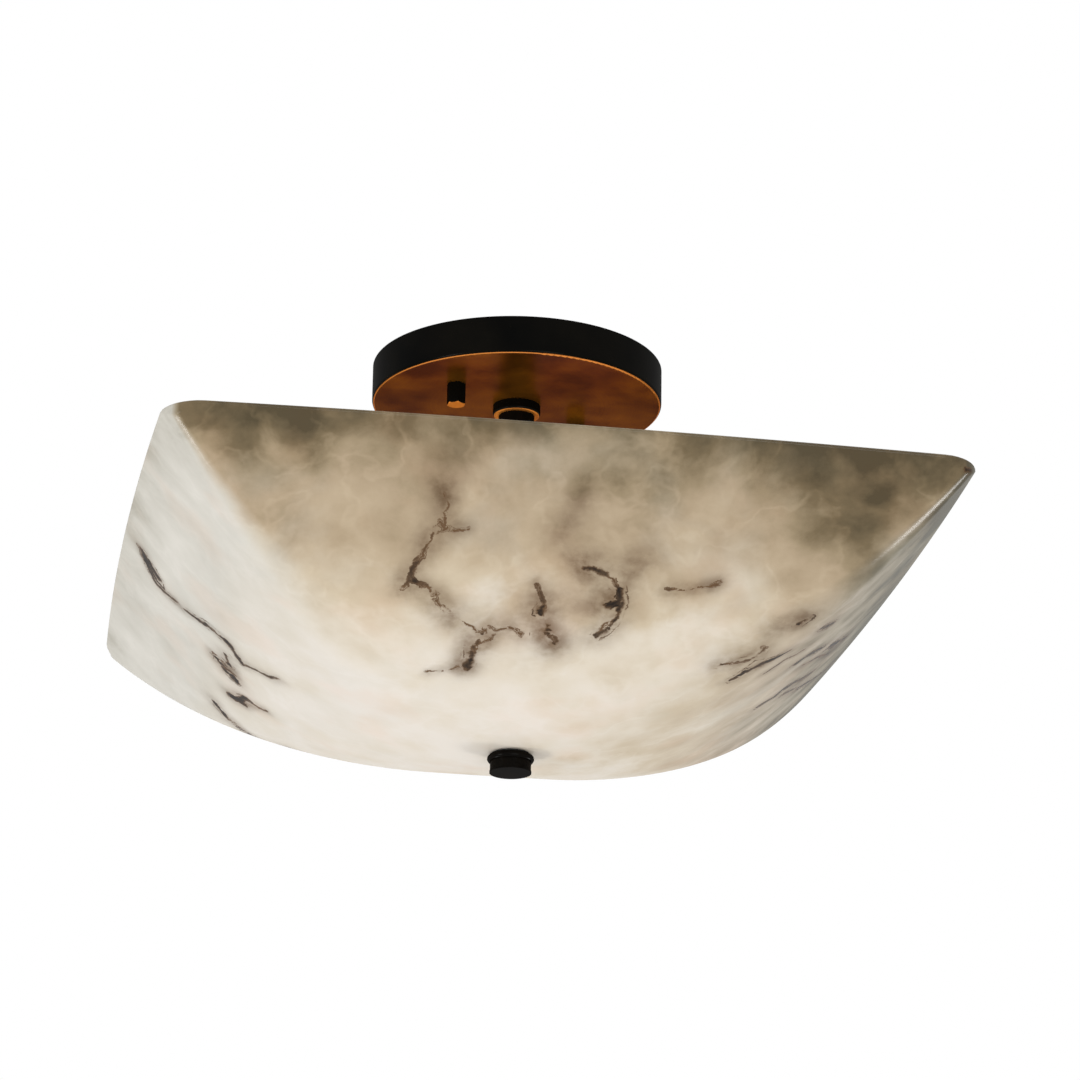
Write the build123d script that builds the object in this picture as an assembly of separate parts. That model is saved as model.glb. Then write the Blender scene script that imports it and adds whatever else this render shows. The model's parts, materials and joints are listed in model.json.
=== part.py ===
from build123d import *
import math
import os

# A semi flush ceiling light: a square domed bowl under a round canopy.
# The ceiling is the plane z = 0, the light hangs below it, and the bowl's
# sides are square to X and Y. Sizes are in millimetres.

# ------------------------------------------------------------------ bowl
BOWL_SIDE = 356.0           # across the middles of two opposite sides, at the rim
SIDE_BOW = 4.0              # a side's middle stands out this far past its ends
BOWL_DEPTH = 91.0           # from the rim down to the underside of the flat bottom
BOWL_WALL = 5.0
DOME_POWER = 2.3            # a side rises as this power of the distance from the middle
SEAT_HALF = 19.0            # half width of the flat at the bottom
CREASE_R = 6.0              # radius of the four creases where they reach the rim
INNER_CREASE_R = 18.0       # the same, inside the bowl
RIM_CORNER_R = 20.0         # the rim's corners are cut straight down to this radius
RIM_CUT_IN = 0.9            # the cut's sides lie this far inside the sharp rim, clear of its rounded edge
CREASE_FADE = 1.55          # how fast the four creases round off towards the bottom
BOWL_SECTIONS = 9           # lofted sections from the flat to the rim
RIM_EDGE_R = 1.0            # both edges of the rim
RIM_DROP = 93.0             # ceiling to rim

# ------------------------------------------------------------------ canopy and its bracket
CANOPY_D = 133.0
CANOPY_DEPTH = 17.5
CANOPY_WALL = 1.2
CANOPY_EDGE_R = 1.6

STRAP_LENGTH = 108.0
STRAP_WIDTH = 20.0
STRAP_T = 1.6
STRAP_CORNER_R = 4.0
BOX_SCREW_D = 4.6           # width of a slot, for the screws of the outlet box
BOX_SPACING_SMALL = 69.85   # screw spacings that the slots span
BOX_SPACING_LARGE = 88.9

SWIVEL_LENGTH = 92.0
SWIVEL_WIDTH = 14.0
SWIVEL_T = 1.6
SWIVEL_ANGLE = 35.0         # turn of the swivel bar from the strap
CANOPY_SCREW_SPACING = 76.2
CANOPY_SCREW_D = 4.1
SCREW_HEAD_D = 7.0
SCREW_HEAD_H = 2.2
SCREW_HEAD_EDGE_R = 0.9

RIVET_D = 10.0
RIVET_BORE = 7.6
RIVET_FLANGE_D = 14.0
RIVET_FLANGE_T = 0.8

GROUND_SCREW_D = 4.7
GROUND_SCREW_FLATS = 7.9
GROUND_SCREW_HEAD_H = 2.2
GROUND_SCREW_X = 24.0
GROUND_SCREW_Y = -6.0
GROUND_SCREW_TIP = 1.2      # stands out over the strap, inside the outlet box

HEX_TURN_SLOPE = 0.6        # height of a hexagon's turned-off corner, as a share of its width

CAP_NUT_FLATS = 7.6
CAP_NUT_H = 10.0
CAP_NUT_END = 1.5           # closed end of the nut

# ------------------------------------------------------------------ stem
COLLAR_D = 21.8
COLLAR_H = 5.0
COLLAR_EDGE_R = 1.35
STEM_D = 16.4
STEM_WALL = 1.2
PIPE_D = 10.0
PIPE_BORE = 7.2
PIPE_NUT_FLATS = 15.0
PIPE_NUT_H = 3.0
PIPE_STANDOUT = 0.3         # thread end past its nut
LOCK_WASHER_D = 18.0
LOCK_WASHER_T = 1.0

# ------------------------------------------------------------------ lamp hub
HUB_DROP = 92.0             # ceiling to the top of the hub
HUB_D = 46.0
HUB_BORE = 38.0
HUB_FLATS = 41.0            # across the two faces that carry the lampholders
HUB_H = 28.0
HUB_TOP_T = 2.5
HUB_EDGE_R = 2.0
COVER_T = 2.5
COVER_SCREW_D = 3.0
COVER_SCREW_HEAD_D = 5.6
COVER_SCREW_LENGTH = 9.0
COVER_SCREW_RADIUS = 14.5
COVER_BOSS_D = 6.6

# ------------------------------------------------------------------ lampholders and bulbs
LAMP_ANGLE = 45.0           # the lamps lie along the bowl's diagonal
HOLDER_NECK_D = 20.0
HOLDER_D = 39.0
HOLDER_NECK_L = 7.5
HOLDER_SHOULDER_L = 8.0
HOLDER_L = 49.5
HOLDER_EDGE_R = 2.0
HOLDER_BACK_T = 3.0
CHAMBER_D = 16.0
CHAMBER_L = 7.5
WEB_T = 3.0
SHELL_BORE = 26.9
SHELL_T = 0.5
SHELL_L = 33.0
SHELL_FLOOR_BORE = 11.0
CONTACT_D = 9.0
CONTACT_T = 0.6
CONTACT_DOME_D = 6.0
CONTACT_DOME_H = 1.4
CONTACT_DOME_R = 1.25
TERMINAL_T = 1.0
TERMINAL_WIDTH = 4.0
SHELL_TERMINAL_START = 2.0  # edges of the two terminals, from the lamp's axis
CONTACT_TERMINAL_END = 4.0
RIVET_PIN_D = 3.0
SHELL_PIN_D = 2.0
SHELL_PIN_OFFSET = 6.2
NIPPLE_INSIDE = 3.0         # nipple end past the hub's flat, inwards
NIPPLE_OUTSIDE = 5.5        # nipple end past the hub's flat, into the lampholder

BULB_L = 106.0
BULB_D = 60.0
BULB_NECK_D = 26.0
BULB_GLASS_T = 1.0
BULB_JOIN_ANGLE = 128.0       # where the neck's curve meets the globe, from the tip
BASE_D = 26.2
BASE_L = 28.5
BASE_CONE_L = 2.0
TIP_D = 9.2
TIP_L = 1.0

# ------------------------------------------------------------------ bowl rod and finial
ROD_D = 9.6
ROD_NUT_FLATS = 14.0
ROD_NUT_H = 4.0
ROD_STANDOUT = 2.0          # rod past the nut inside the hub
GASKET_D = 34.0
GASKET_T = 2.0
BOWL_WASHER_T = 1.6
LOWER_GASKET_D = 17.0
LOWER_GASKET_T = 0.8
FINIAL_FLANGE_D = 21.0
FINIAL_FLANGE_TOP_D = 18.8
FINIAL_FLANGE_FOOT_D = 19.6
FINIAL_FLANGE_T = 3.2
FINIAL_WIDEST = 2.0         # from the flange's top down to its widest line
FINIAL_BARREL_D = 18.4
FINIAL_LIP_D = 18.8
FINIAL_LIP_T = 0.8
FINIAL_H = 8.2
FINIAL_END = 1.6            # closed end of the finial

# ------------------------------------------------------------------ clearances, on the radius
THREAD_FIT = 0.1            # a nut or threaded hole round its screw
SWIVEL_FIT = 0.08           # the swivel bar round its rivet
PRESS_GAP = 0.05            # pieces that are pressed or riveted together
LOOSE_FIT = 0.45            # screws through sheet metal
SEAL_FIT = 0.3              # gaskets round the rod
BOWL_HOLE_FIT = 0.8
PIECE_GAP = 0.3             # ends that only just meet
TIP_GAP = 0.5               # screw and rod ends short of the closed end of their nut
SCREW_RUNOUT = 1.0          # hole past the end of a cover screw

# ------------------------------------------------------------------ levels, from the ceiling down
STRAP_LOW = -STRAP_T
SWIVEL_LOW = STRAP_LOW - SWIVEL_T
CANOPY_LOW = -CANOPY_DEPTH
CANOPY_FLOOR = CANOPY_LOW + CANOPY_WALL
LOCK_WASHER_TOP = CANOPY_FLOOR + LOCK_WASHER_T
TOP_NUT_TOP = LOCK_WASHER_TOP + PIPE_NUT_H
PIPE_TOP = TOP_NUT_TOP + PIPE_STANDOUT
SCREW_TIP = CANOPY_LOW - CAP_NUT_H + CAP_NUT_END + TIP_GAP

HUB_TOP = -HUB_DROP
HUB_CEILING = HUB_TOP - HUB_TOP_T
HUB_LOW = HUB_TOP - HUB_H
COVER_TOP = HUB_LOW + COVER_T
LAMP_Z = HUB_TOP - HUB_H / 2
PIPE_LOW = HUB_CEILING - PIPE_NUT_H - PIPE_STANDOUT

BOWL_LOW = -RIM_DROP - BOWL_DEPTH
BOWL_FLOOR = BOWL_LOW + BOWL_WALL
GASKET_TOP = BOWL_FLOOR + GASKET_T
BOWL_WASHER_TOP = GASKET_TOP + BOWL_WASHER_T
FINIAL_TOP = BOWL_LOW - LOWER_GASKET_T
FINIAL_LOW = FINIAL_TOP - FINIAL_H
ROD_TOP = COVER_TOP + ROD_NUT_H + ROD_STANDOUT
ROD_LOW = FINIAL_LOW + FINIAL_END + TIP_GAP

# ------------------------------------------------------------------ stations along a lamp's axis
HOLDER_START = HUB_FLATS / 2
HOLDER_END = HOLDER_START + HOLDER_L
CHAMBER_START = HOLDER_START + HOLDER_BACK_T
WEB_START = CHAMBER_START + CHAMBER_L
WEB_END = WEB_START + WEB_T
SHELL_END = WEB_END + SHELL_L
TERMINAL_START = WEB_START - TERMINAL_T
BULB_START = WEB_END + CONTACT_T + CONTACT_DOME_H + PIECE_GAP
BASE_START = BULB_START + TIP_L + BASE_CONE_L
BASE_END = BASE_START + BASE_L
BULB_END = BULB_START + BULB_L


# ------------------------------------------------------------------ helpers
def tube(outer_d, inner_d, low, high):
    """A ring or tube about the vertical axis."""
    solid = Cylinder(outer_d / 2, high - low, align=(Align.CENTER, Align.CENTER, Align.MIN))
    bore = Cylinder(inner_d / 2, high - low, align=(Align.CENTER, Align.CENTER, Align.MIN))
    return Pos(0, 0, low) * (solid - bore)


def rod(diameter, low, high):
    """A round bar about the vertical axis."""
    return Pos(0, 0, low) * Cylinder(
        diameter / 2, high - low, align=(Align.CENTER, Align.CENTER, Align.MIN)
    )


def hexagon(flats, low, high, chamfered=("low", "high")):
    """A hexagonal prism whose named ends have their corners turned off."""
    prism = extrude(RegularPolygon(flats / 2, 6, major_radius=False), high - low)
    corner_r = flats / math.sqrt(3)
    blank = Cylinder(corner_r, high - low, align=(Align.CENTER, Align.CENTER, Align.MIN))
    turned = corner_r - flats / 2
    edges = blank.edges().filter_by(GeomType.CIRCLE).sort_by(Axis.Z)
    picked = [edge for name, edge in (("low", edges[0]), ("high", edges[-1])) if name in chamfered]
    blank = chamfer(picked, length=turned * HEX_TURN_SLOPE, length2=turned)
    return Pos(0, 0, low) * (prism & blank)


def hex_nut(flats, bore_d, low, high):
    return hexagon(flats, low, high) - rod(bore_d, low, high)


def along_lamp(solid, side):
    """Turn what was drawn along +X at height 0 to lamp 1 or lamp 2."""
    turn = LAMP_ANGLE + (180 if side == 1 else 0)
    return Pos(0, 0, LAMP_Z) * Rot(0, 0, turn) * solid


def turned_x(*points):
    """Turn an outline of (station, radius) points about the X axis."""
    return revolve(make_face(Polyline(*points, close=True)), Axis.X)


def bar_x(diameter, start, end, offset=0.0):
    """A round bar along +X, set off sideways."""
    return Pos(start, offset, 0) * Rot(0, 90, 0) * Cylinder(
        diameter / 2, end - start, align=(Align.CENTER, Align.CENTER, Align.MIN)
    )


# ------------------------------------------------------------------ ceiling bracket
def make_box_strap():
    slot_reach = (BOX_SPACING_LARGE - BOX_SPACING_SMALL) / 2
    slot_centre = (BOX_SPACING_LARGE + BOX_SPACING_SMALL) / 4
    plate = Rectangle(STRAP_LENGTH, STRAP_WIDTH)
    plate = fillet(plate.vertices(), STRAP_CORNER_R)
    plate -= Circle(RIVET_D / 2 + PRESS_GAP)
    for x in (-slot_centre, slot_centre):
        plate -= Pos(x, 0) * SlotCenterToCenter(slot_reach, BOX_SCREW_D)
    plate -= Pos(GROUND_SCREW_X, GROUND_SCREW_Y) * Circle(GROUND_SCREW_D / 2 + THREAD_FIT)
    return Pos(0, 0, STRAP_LOW) * extrude(plate, STRAP_T)


def make_swivel_bar():
    plate = SlotOverall(SWIVEL_LENGTH, SWIVEL_WIDTH) - Circle(RIVET_D / 2 + SWIVEL_FIT)
    for x in (-CANOPY_SCREW_SPACING / 2, CANOPY_SCREW_SPACING / 2):
        plate -= Pos(x, 0) * Circle(CANOPY_SCREW_D / 2 + PRESS_GAP)
    return Rot(0, 0, SWIVEL_ANGLE) * Pos(0, 0, SWIVEL_LOW) * extrude(plate, SWIVEL_T)


def make_bar_rivet():
    barrel = tube(RIVET_D, RIVET_BORE, SWIVEL_LOW, 0)
    top = tube(RIVET_FLANGE_D, RIVET_BORE, 0, RIVET_FLANGE_T)
    foot = tube(RIVET_FLANGE_D, RIVET_BORE, SWIVEL_LOW - RIVET_FLANGE_T, SWIVEL_LOW)
    return barrel + top + foot


def make_ground_screw():
    head = hexagon(GROUND_SCREW_FLATS, STRAP_LOW - GROUND_SCREW_HEAD_H, STRAP_LOW, ("low",))
    shank = rod(GROUND_SCREW_D, STRAP_LOW, GROUND_SCREW_TIP)
    return Pos(GROUND_SCREW_X, GROUND_SCREW_Y, 0) * (head + shank)


def at_canopy_screws(solid):
    """The same solid at both canopy screws."""
    spots = Rot(0, 0, SWIVEL_ANGLE) * Pos(CANOPY_SCREW_SPACING / 2, 0, 0)
    return [Rot(0, 0, turn) * spots * solid for turn in (0, 180)]


def make_canopy_screws():
    head = rod(SCREW_HEAD_D, STRAP_LOW, STRAP_LOW + SCREW_HEAD_H)
    head = fillet(head.edges().sort_by(Axis.Z)[-1], SCREW_HEAD_EDGE_R)
    return at_canopy_screws(head + rod(CANOPY_SCREW_D, SCREW_TIP, STRAP_LOW))


def make_cap_nuts():
    nut = hexagon(CAP_NUT_FLATS, CANOPY_LOW - CAP_NUT_H, CANOPY_LOW, ("low",))
    nut -= rod(CANOPY_SCREW_D + 2 * THREAD_FIT, CANOPY_LOW - CAP_NUT_H + CAP_NUT_END, CANOPY_LOW)
    return at_canopy_screws(nut)


# ------------------------------------------------------------------ canopy and stem
def make_canopy():
    drum = rod(CANOPY_D, CANOPY_LOW, 0)
    drum = fillet(drum.edges().sort_by(Axis.Z)[0], CANOPY_EDGE_R)
    hollow = rod(CANOPY_D - 2 * CANOPY_WALL, CANOPY_FLOOR, 0)
    hollow = fillet(hollow.edges().sort_by(Axis.Z)[0], CANOPY_EDGE_R - CANOPY_WALL)
    drum = drum - hollow - rod(PIPE_D + 2 * LOOSE_FIT, CANOPY_LOW, CANOPY_FLOOR)
    for hole in at_canopy_screws(rod(CANOPY_SCREW_D + 2 * LOOSE_FIT, CANOPY_LOW, CANOPY_FLOOR)):
        drum -= hole
    return drum


def make_stem_collar():
    collar = tube(COLLAR_D, STEM_D + 2 * PRESS_GAP, CANOPY_LOW - COLLAR_H, CANOPY_LOW)
    rim = collar.edges().filter_by(GeomType.CIRCLE).group_by(Axis.Z)[0].sort_by(SortBy.RADIUS)[-1]
    return fillet(rim, COLLAR_EDGE_R)


def make_pipe_nuts():
    nut_bore = PIPE_D + 2 * THREAD_FIT
    upper = hex_nut(PIPE_NUT_FLATS, nut_bore, LOCK_WASHER_TOP, TOP_NUT_TOP)
    lower = hex_nut(PIPE_NUT_FLATS, nut_bore, HUB_CEILING - PIPE_NUT_H, HUB_CEILING)
    return [upper, lower]


def make_lock_washer():
    return tube(LOCK_WASHER_D, PIPE_D + 2 * THREAD_FIT, CANOPY_FLOOR, LOCK_WASHER_TOP)


# ------------------------------------------------------------------ lamp hub
def at_cover_screws(solid):
    """The same solid at both cover screws, across from the lampholders."""
    spots = [Pos(0, y, 0) * solid for y in (-COVER_SCREW_RADIUS, COVER_SCREW_RADIUS)]
    return [Rot(0, 0, LAMP_ANGLE) * spot for spot in spots]


def make_hub_body():
    drum = rod(HUB_D, HUB_LOW, HUB_TOP)
    drum = fillet(drum.edges().sort_by(Axis.Z)[-1], HUB_EDGE_R)
    drum &= Pos(0, 0, LAMP_Z) * Box(HUB_FLATS, HUB_D, HUB_H)
    drum = drum - rod(HUB_BORE, HUB_LOW, HUB_CEILING) - rod(PIPE_D + 2 * THREAD_FIT, HUB_CEILING, HUB_TOP)
    cross_bore = bar_x(PIPE_D + 2 * THREAD_FIT, -HUB_D / 2, HUB_D / 2)
    drum -= Pos(0, 0, LAMP_Z) * cross_bore
    drum = Rot(0, 0, LAMP_ANGLE) * drum
    for boss in at_cover_screws(rod(COVER_BOSS_D, COVER_TOP, HUB_CEILING)):
        drum += boss
    hole_top = HUB_LOW + COVER_SCREW_LENGTH + SCREW_RUNOUT
    for hole in at_cover_screws(rod(COVER_SCREW_D + 2 * PRESS_GAP, COVER_TOP, hole_top)):
        drum -= hole
    return drum


def screw_head_cone(widen=0.0):
    """The countersunk head of a cover screw, flush with the cover's underside."""
    head_r = COVER_SCREW_HEAD_D / 2 + widen
    shank_r = COVER_SCREW_D / 2 + widen
    height = head_r - shank_r
    return Pos(0, 0, HUB_LOW) * Cone(
        head_r, shank_r, height, align=(Align.CENTER, Align.CENTER, Align.MIN)
    )


def make_hub_cover():
    cover = tube(HUB_BORE - 2 * PRESS_GAP, ROD_D + 2 * THREAD_FIT, HUB_LOW, COVER_TOP)
    hole = rod(COVER_SCREW_D + 2 * PRESS_GAP, HUB_LOW, COVER_TOP) + screw_head_cone(PRESS_GAP)
    for cut in at_cover_screws(hole):
        cover -= cut
    return cover


def make_cover_screws():
    return at_cover_screws(screw_head_cone() + rod(COVER_SCREW_D, HUB_LOW, HUB_LOW + COVER_SCREW_LENGTH))


# ------------------------------------------------------------------ lampholders, drawn along +X
def make_nipples():
    nipple = bar_x(PIPE_D, HOLDER_START - NIPPLE_INSIDE, HOLDER_START + NIPPLE_OUTSIDE)
    nipple -= bar_x(PIPE_BORE, HOLDER_START - NIPPLE_INSIDE, HOLDER_START + NIPPLE_OUTSIDE)
    return [along_lamp(nipple, side) for side in (1, 2)]


def make_lampholder(side):
    neck_end = HOLDER_START + HOLDER_NECK_L
    shoulder_end = neck_end + HOLDER_SHOULDER_L
    with BuildSketch() as outline:
        with BuildLine():
            Polyline(
                (HOLDER_END, 0),
                (HOLDER_START, 0),
                (HOLDER_START, HOLDER_NECK_D / 2),
                (neck_end, HOLDER_NECK_D / 2),
                (shoulder_end, HOLDER_D / 2),
                (HOLDER_END, HOLDER_D / 2),
                close=True,
            )
        make_face()
        outer = outline.vertices().filter_by(lambda v: v.X > HOLDER_START and v.Y > 0)
        fillet(outer, HOLDER_EDGE_R)
    body = revolve(outline.sketch, Axis.X)
    body -= bar_x(PIPE_D + 2 * THREAD_FIT, HOLDER_START, CHAMBER_START)
    body -= bar_x(CHAMBER_D, CHAMBER_START, WEB_START)
    body -= bar_x(RIVET_PIN_D + 2 * PRESS_GAP, WEB_START, WEB_END)
    body -= bar_x(SHELL_PIN_D + 2 * PRESS_GAP, WEB_START, WEB_END, -SHELL_PIN_OFFSET)
    body -= bar_x(SHELL_BORE + 2 * SHELL_T + 2 * PRESS_GAP, WEB_END, HOLDER_END)
    return along_lamp(body, side)


def make_screw_shell(side):
    outer_d = SHELL_BORE + 2 * SHELL_T
    shell = bar_x(outer_d, WEB_END, SHELL_END)
    shell -= bar_x(SHELL_BORE, WEB_END + SHELL_T, SHELL_END)
    shell -= bar_x(SHELL_FLOOR_BORE, WEB_END, WEB_END + SHELL_T)
    shell += bar_x(SHELL_PIN_D, TERMINAL_START, WEB_END, -SHELL_PIN_OFFSET)
    tab_length = SHELL_PIN_OFFSET + SHELL_PIN_D / 2 - SHELL_TERMINAL_START
    tab = Box(TERMINAL_T, tab_length, TERMINAL_WIDTH, align=(Align.MIN, Align.MAX, Align.CENTER))
    shell += Pos(TERMINAL_START, -SHELL_TERMINAL_START, 0) * tab
    return along_lamp(shell, side)


def make_centre_contact(side):
    dome_top = WEB_END + CONTACT_T + CONTACT_DOME_H
    contact = bar_x(CONTACT_D, WEB_END, WEB_END + CONTACT_T)
    dome = bar_x(CONTACT_DOME_D, WEB_END + CONTACT_T, dome_top)
    contact += fillet(dome.edges().sort_by(Axis.X)[-1], CONTACT_DOME_R)
    contact += bar_x(RIVET_PIN_D, TERMINAL_START, WEB_END)
    tab = Box(
        TERMINAL_T, CONTACT_TERMINAL_END, TERMINAL_WIDTH, align=(Align.MIN, Align.MIN, Align.CENTER)
    )
    contact += Pos(TERMINAL_START, 0, 0) * tab
    return along_lamp(contact, side)


# ------------------------------------------------------------------ bulbs
def bulb_outline(inset):
    """Half section of the glass, from the base's mouth to the tip."""
    globe_r = BULB_D / 2 - inset
    neck_r = BULB_NECK_D / 2 - inset
    centre_x = BULB_END - BULB_D / 2
    along = math.cos(math.radians(BULB_JOIN_ANGLE))
    across = math.sin(math.radians(BULB_JOIN_ANGLE))
    join = (centre_x + globe_r * along, globe_r * across)
    with BuildSketch() as section:
        with BuildLine():
            Line((centre_x, 0), (BASE_END, 0))
            Line((BASE_END, 0), (BASE_END, neck_r))
            Spline((BASE_END, neck_r), join, tangents=((1, 0), (across, -along)))
            CenterArc((centre_x, 0), globe_r, BULB_JOIN_ANGLE, -BULB_JOIN_ANGLE)
            Line((centre_x + globe_r, 0), (centre_x, 0))
        make_face()
    return section.sketch


def make_bulb_glass(side):
    glass = revolve(bulb_outline(0.0), Axis.X) - revolve(bulb_outline(BULB_GLASS_T), Axis.X)
    return along_lamp(glass, side)


def make_bulb_base(side):
    base = turned_x(
        (BULB_START, 0),
        (BULB_START, TIP_D / 2),
        (BULB_START + TIP_L, TIP_D / 2),
        (BASE_START, BASE_D / 2 - BASE_CONE_L),
        (BASE_START, BASE_D / 2),
        (BASE_END, BASE_D / 2),
        (BASE_END, 0),
    )
    return along_lamp(base, side)


# ------------------------------------------------------------------ bowl
def side_rise(share):
    """Height and slope of the outside over the flat bottom, at a share of the half side."""
    flat = (SEAT_HALF / (BOWL_SIDE / 2)) ** DOME_POWER
    full_rise = BOWL_DEPTH / (1 - flat)
    height = full_rise * (share**DOME_POWER - flat)
    slope = full_rise * DOME_POWER * share ** (DOME_POWER - 1) / (BOWL_SIDE / 2)
    return height, slope


def bowed_square(half, bow, corner_r, height):
    corner = half - bow
    side = ThreePointArc((-corner, -corner), (0, -half), (corner, -corner))
    outline = make_face([Rot(0, 0, turn) * side for turn in (0, 90, 180, 270)])
    return Pos(0, 0, height) * fillet(outline.vertices(), corner_r)


def bowl_section(half, height, share, crease_r):
    """The bowl at one height; its corners are rounder the lower it lies."""
    crease_share = crease_r / (BOWL_SIDE / 2)
    corner_r = half * (crease_share + (1 - crease_share) * (1 - share) ** CREASE_FADE)
    return bowed_square(half, SIDE_BOW * share, corner_r, height)


def bowl_form(inset, crease_r):
    """The bowl as a filled form, its sides moved inwards along their normals."""
    half_side = BOWL_SIDE / 2
    lowest_share = SEAT_HALF / half_side
    sections = []
    for i in range(BOWL_SECTIONS):
        share = lowest_share + (1 - lowest_share) * i / (BOWL_SECTIONS - 1)
        rise, slope = side_rise(share)
        tilt = math.atan(slope) if i else 0.0
        half = share * half_side - inset * math.sin(tilt)
        height = BOWL_LOW + rise + inset * math.cos(tilt)
        sections.append(bowl_section(half, height, share, crease_r))
    return loft(sections)


def make_bowl():
    bowl = bowl_form(0.0, CREASE_R) - bowl_form(BOWL_WALL, INNER_CREASE_R)
    rim = bowl.faces().filter_by(GeomType.PLANE).sort_by(Axis.Z)[-1]
    bowl = fillet(rim.edges(), RIM_EDGE_R)
    cut = extrude(bowed_square(BOWL_SIDE / 2 - RIM_CUT_IN, SIDE_BOW, RIM_CORNER_R, BOWL_LOW), BOWL_DEPTH)
    cut = fillet(cut.edges().group_by(Axis.Z)[-1], RIM_EDGE_R)
    return (bowl & cut) - rod(ROD_D + 2 * BOWL_HOLE_FIT, BOWL_LOW, BOWL_FLOOR)


# ------------------------------------------------------------------ bowl rod and finial
def make_rod_nuts():
    nut_bore = ROD_D + 2 * THREAD_FIT
    seats = (COVER_TOP, HUB_LOW - ROD_NUT_H, BOWL_WASHER_TOP)
    return [hex_nut(ROD_NUT_FLATS, nut_bore, low, low + ROD_NUT_H) for low in seats]


def make_finial():
    barrel_top = FINIAL_TOP - FINIAL_FLANGE_T
    lip_top = FINIAL_LOW + FINIAL_LIP_T
    with BuildSketch(Plane.XZ) as section:
        with BuildLine():
            Line((0, FINIAL_TOP), (FINIAL_FLANGE_TOP_D / 2, FINIAL_TOP))
            ThreePointArc(
                (FINIAL_FLANGE_TOP_D / 2, FINIAL_TOP),
                (FINIAL_FLANGE_D / 2, FINIAL_TOP - FINIAL_WIDEST),
                (FINIAL_FLANGE_FOOT_D / 2, barrel_top),
            )
            Polyline(
                (FINIAL_FLANGE_FOOT_D / 2, barrel_top),
                (FINIAL_BARREL_D / 2, barrel_top),
                (FINIAL_BARREL_D / 2, lip_top),
                (FINIAL_LIP_D / 2, lip_top),
                (FINIAL_LIP_D / 2, FINIAL_LOW),
                (0, FINIAL_LOW),
                (0, FINIAL_TOP),
            )
        make_face()
    finial = revolve(section.sketch, Axis.Z)
    return finial - rod(ROD_D + 2 * THREAD_FIT, FINIAL_LOW + FINIAL_END, FINIAL_TOP)


# ------------------------------------------------------------------ all pieces
def make_pieces():
    cap_nuts = make_cap_nuts()
    pieces = {
        "box_strap": make_box_strap(),
        "bar_rivet": make_bar_rivet(),
        "ground_screw": make_ground_screw(),
        "swivel_bar": make_swivel_bar(),
        "canopy_screws": make_canopy_screws(),
        "cap_nut_far": cap_nuts[0],
        "cap_nut_near": cap_nuts[1],
        "canopy": make_canopy(),
        "lock_washer": make_lock_washer(),
        "pipe_nuts": make_pipe_nuts(),
        "inner_pipe": tube(PIPE_D, PIPE_BORE, PIPE_LOW, PIPE_TOP),
        "stem_collar": make_stem_collar(),
        "stem_tube": tube(STEM_D, STEM_D - 2 * STEM_WALL, HUB_TOP, CANOPY_LOW),
        "hub_body": make_hub_body(),
        "hub_cover": make_hub_cover(),
        "cover_screws": make_cover_screws(),
        "lampholder_nipples": make_nipples(),
        "bowl_rod": rod(ROD_D, ROD_LOW, ROD_TOP),
        "rod_nuts": make_rod_nuts(),
        "bowl_washer": tube(GASKET_D, ROD_D + 2 * SEAL_FIT, GASKET_TOP, BOWL_WASHER_TOP),
        "upper_gasket": tube(GASKET_D, ROD_D + 2 * SEAL_FIT, BOWL_FLOOR, GASKET_TOP),
        "bowl": make_bowl(),
        "lower_gasket": tube(LOWER_GASKET_D, ROD_D + 2 * SEAL_FIT, FINIAL_TOP, BOWL_LOW),
        "finial": make_finial(),
    }
    for side in (1, 2):
        pieces[f"lampholder_{side}"] = make_lampholder(side)
        pieces[f"screw_shell_{side}"] = make_screw_shell(side)
        pieces[f"centre_contact_{side}"] = make_centre_contact(side)
        pieces[f"bulb_{side}_base"] = make_bulb_base(side)
        pieces[f"bulb_{side}_glass"] = make_bulb_glass(side)
    return pieces


def write_pieces():
    os.makedirs("parts", exist_ok=True)
    for name, piece in make_pieces().items():
        solids = piece if isinstance(piece, list) else [piece]
        whole = Compound(children=[solid.solid() for solid in solids])
        whole.label = name
        export_step(whole, f"parts/{name}.step")


write_pieces()
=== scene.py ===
"""Looks of a semi flush ceiling light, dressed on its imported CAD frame.

Lengths are in metres, or in millimetres where a name ends in MM.
"""
import json
import math

import bpy
import numpy as np
from mathutils import Matrix, Vector


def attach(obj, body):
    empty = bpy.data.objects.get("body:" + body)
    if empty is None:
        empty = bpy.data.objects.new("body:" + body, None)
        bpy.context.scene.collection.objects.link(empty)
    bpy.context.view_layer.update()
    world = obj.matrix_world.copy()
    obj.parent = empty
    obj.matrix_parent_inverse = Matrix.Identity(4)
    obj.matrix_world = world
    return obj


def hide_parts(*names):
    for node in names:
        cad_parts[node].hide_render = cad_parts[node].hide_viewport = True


MM = 0.001

# ------------------------------------------------------------------ camera, solved from the photograph
CAMERA_LENS_MM = 143.18
CAMERA_AZIMUTH = -9.16
CAMERA_ELEVATION = -19.524
CAMERA_ROLL = 0.87
CAMERA_DISTANCE = 1.947
CAMERA_AIM = (0.0, 0.0, -0.1)
CAMERA_ASIDE = (0.0119, 0.0164)      # right and up from the line through the aim

# ------------------------------------------------------------------ stage and lights
FLOOR_Z = -2.4
FLOOR_HALF = 40.0
FLOOR_GLOW = 0.4                     # added for what is seen directly, so that the floor looks pale
WORLD_LIGHT = 0.5
WHITE = (1.0, 1.0, 1.0)
BULB_WHITE = (1.0, 0.94, 0.84)
CEILING_MIDDLE = (0.0, 0.0, 0.0)

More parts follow.
